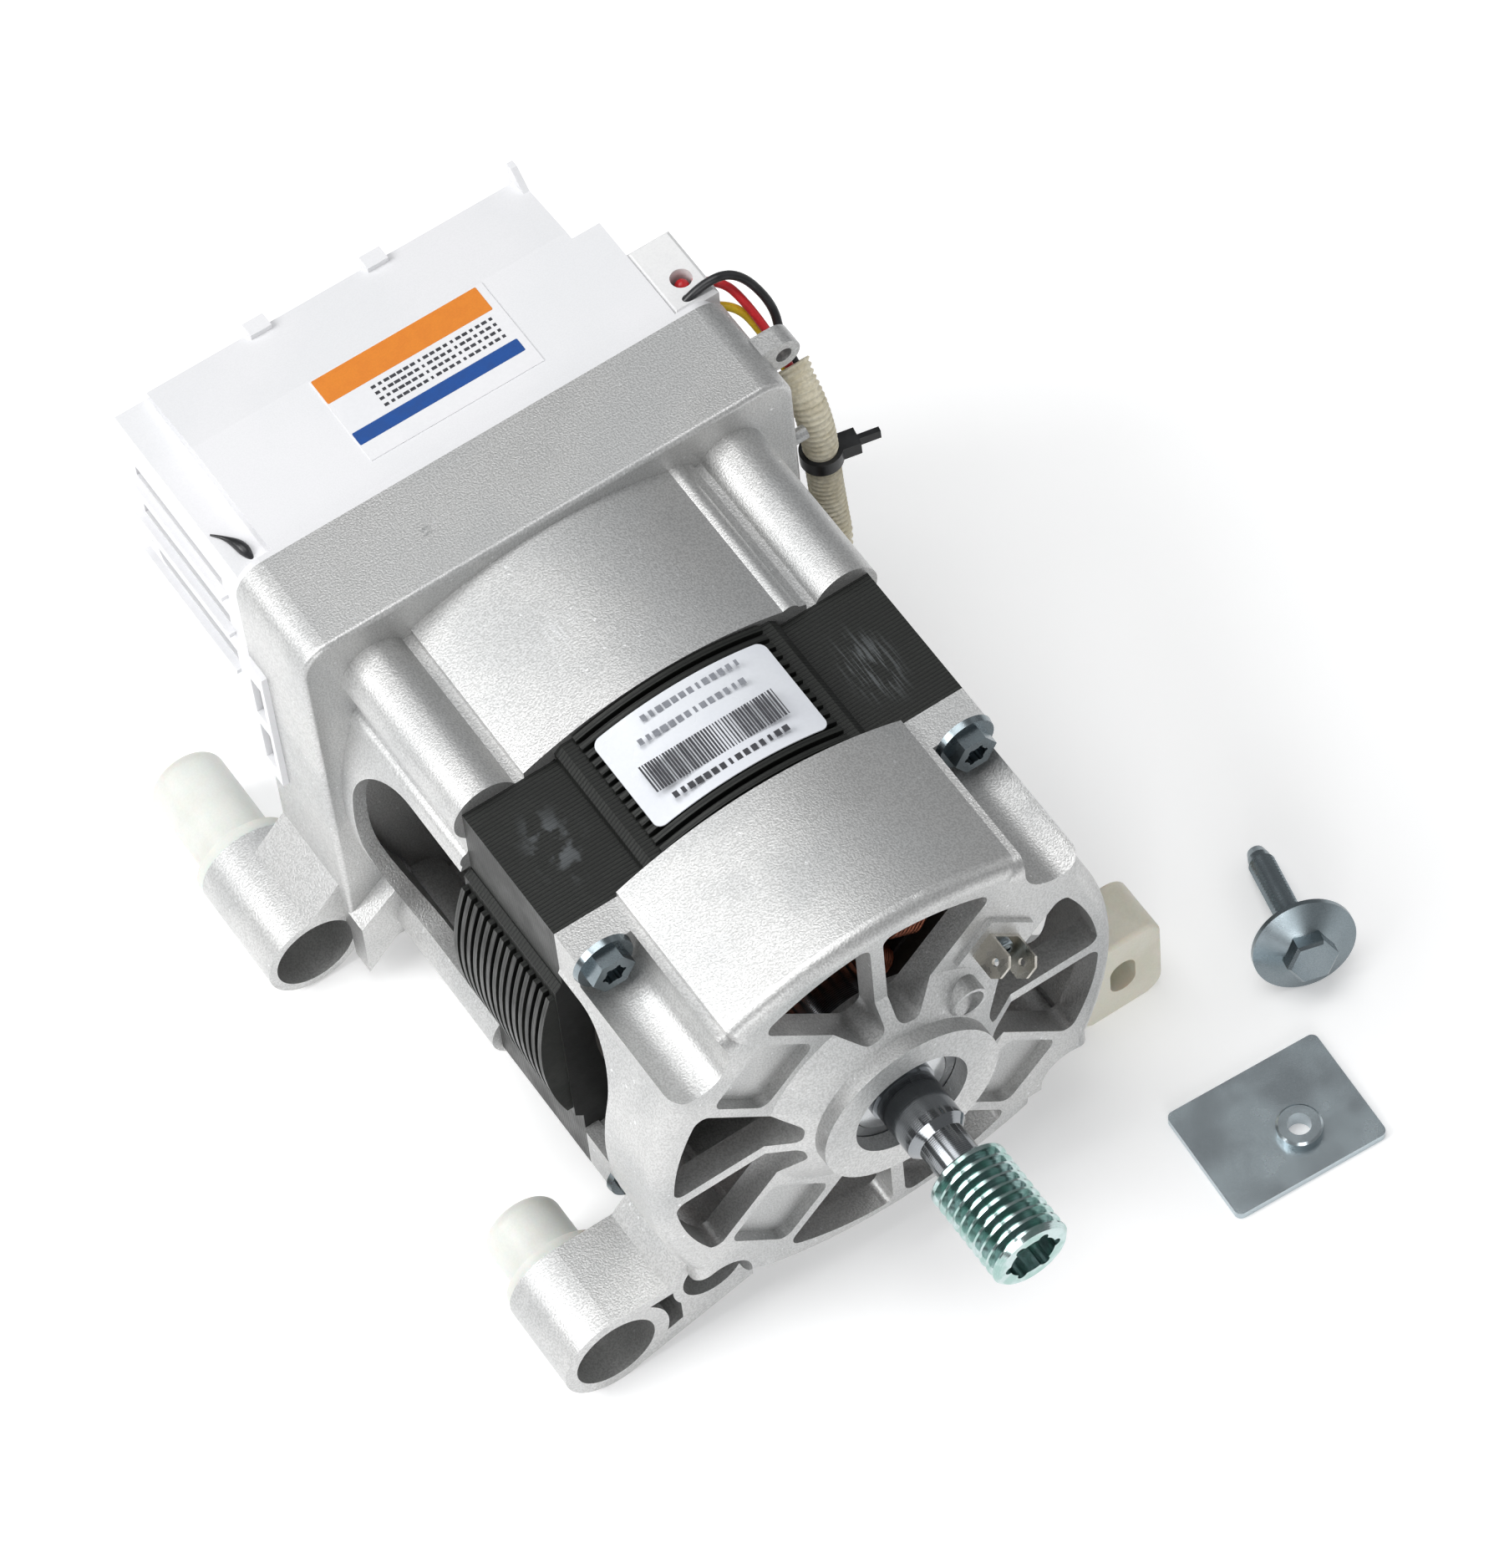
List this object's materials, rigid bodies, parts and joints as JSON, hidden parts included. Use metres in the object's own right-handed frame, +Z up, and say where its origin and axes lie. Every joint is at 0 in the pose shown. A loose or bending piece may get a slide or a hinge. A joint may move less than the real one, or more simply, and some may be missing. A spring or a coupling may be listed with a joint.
{
  "type": "washing machine motor",
  "caption": "Belt-drive washing machine motor: cast brackets round a finned stator, white drive-unit cover, grooved pulley, mounting lugs with plugs, loose screw and nut plate.",
  "frame": {"origin": "on the shaft axis, at the middle of the belt pulley's grooves", "axes": "+X right and +Z up as seen from the pulley end, +Y along the shaft from the pulley to the drive unit"},
  "size_m": [0.1945, 0.2468, 0.1245],
  "materials": {
    "cast_aluminium": "die-cast and shot-blasted, matt with fine sparkle",
    "lamination_steel": "stacked sheet edges, black varnish",
    "insulator_plastic": "moulded, matt",
    "enamelled_copper": "wound enamelled wire, varnished",
    "bearing_steel": "ground and polished",
    "pressed_steel": "pressed sheet",
    "spring_steel": "tempered",
    "zinc_plated_steel": "bright zinc, blue-white passivated",
    "tinned_brass": "tinned, satin",
    "white_nylon": "moulded, satin",
    "ivory_nylon": "moulded, satin",
    "white_label": "printed film, satin",
    "white_cover_plastic": "moulded, satin",
    "sticker_film": "printed film with plain colour bands",
    "circuit_board": "solder-resist lacquer",
    "black_epoxy": "moulded, matt",
    "capacitor_sleeve": "shrunk sleeve",
    "choke_winding": "coated ring with winding",
    "relay_case": "moulded",
    "header_plastic": "moulded",
    "tinned_pins": "tinned",
    "white_block_plastic": "moulded, satin",
    "red_insulation": "extruded, satin",
    "yellow_insulation": "extruded, satin",
    "black_insulation": "extruded, satin",
    "beige_sleeve": "corrugated sleeve, matt",
    "black_nylon": "moulded, satin",
    "ground_steel": "turned and ground",
    "rotor_lamination": "stacked sheet edges",
    "sintered_magnet": "sintered, epoxy coated",
    "end_plate_aluminium": "stamped",
    "plated_pulley": "turned grooves, blue-white zinc",
    "cage_plastic": "moulded"
  },
  "bodies": {
    "housing": {"front_bracket": "cast_aluminium", "rear_bracket": "cast_aluminium", "stator_core": "lamination_steel", "front_insulator": "insulator_plastic", "rear_insulator": "insulator_plastic", "stator_coils": "enamelled_copper", "front_bearing_outer_race": "bearing_steel", "rear_bearing_outer_race": "bearing_steel", "front_bearing_shields": "pressed_steel", "rear_bearing_shields": "pressed_steel", "preload_washer": "spring_steel", "through_bolts": "zinc_plated_steel", "earth_terminal": "tinned_brass", "earth_screw": "zinc_plated_steel", "front_lug_plug": "white_nylon", "rear_lug_plug": "white_nylon", "slot_bushing": "ivory_nylon", "stator_label": "white_label", "inverter_cover": "white_cover_plastic", "cover_screws": "zinc_plated_steel", "cover_sticker": "sticker_film", "control_board": "circuit_board", "board_screws": "zinc_plated_steel", "power_module": "black_epoxy", "bus_capacitors": "capacitor_sleeve", "line_choke": "choke_winding", "power_relay": "relay_case", "mains_header": "header_plastic", "mains_header_pins": "tinned_pins", "connector_block": "white_block_plastic", "red_lead": "red_insulation", "yellow_lead": "yellow_insulation", "black_lead": "black_insulation", "harness_sleeve": "beige_sleeve", "cable_tie": "black_nylon", "fixing_screw": "zinc_plated_steel", "nut_plate": "zinc_plated_steel"},
    "rotor": {"rotor_shaft": "ground_steel", "rotor_core": "rotor_lamination", "rotor_magnets": "sintered_magnet", "rotor_end_plates": "end_plate_aluminium", "belt_pulley": "plated_pulley", "front_bearing_inner_race": "bearing_steel", "rear_bearing_inner_race": "bearing_steel"},
    "front_ball_set": {"front_bearing_balls": "bearing_steel", "front_bearing_cage": "cage_plastic"},
    "rear_ball_set": {"rear_bearing_balls": "bearing_steel", "rear_bearing_cage": "cage_plastic"}
  },
  "joints": [
    {"name": "rotor_spin", "type": "hinge", "parent": "housing", "child": "rotor", "pos_m": [0, 0, 0], "axis": [0, 1, 0], "continuous": true},
    {"name": "front_ball_orbit", "type": "hinge", "parent": "housing", "child": "front_ball_set", "pos_m": [0, 0.0404, 0], "axis": [0, 1, 0], "continuous": true},
    {"name": "rear_ball_orbit", "type": "hinge", "parent": "housing", "child": "rear_ball_set", "pos_m": [0, 0.1501, 0], "axis": [0, 1, 0], "continuous": true}
  ],
  "couplings": [
    {"joint": "front_ball_orbit", "follows": "rotor_spin", "ratio": 0.3808},
    {"joint": "rear_ball_orbit", "follows": "rotor_spin", "ratio": 0.3645}
  ]
}
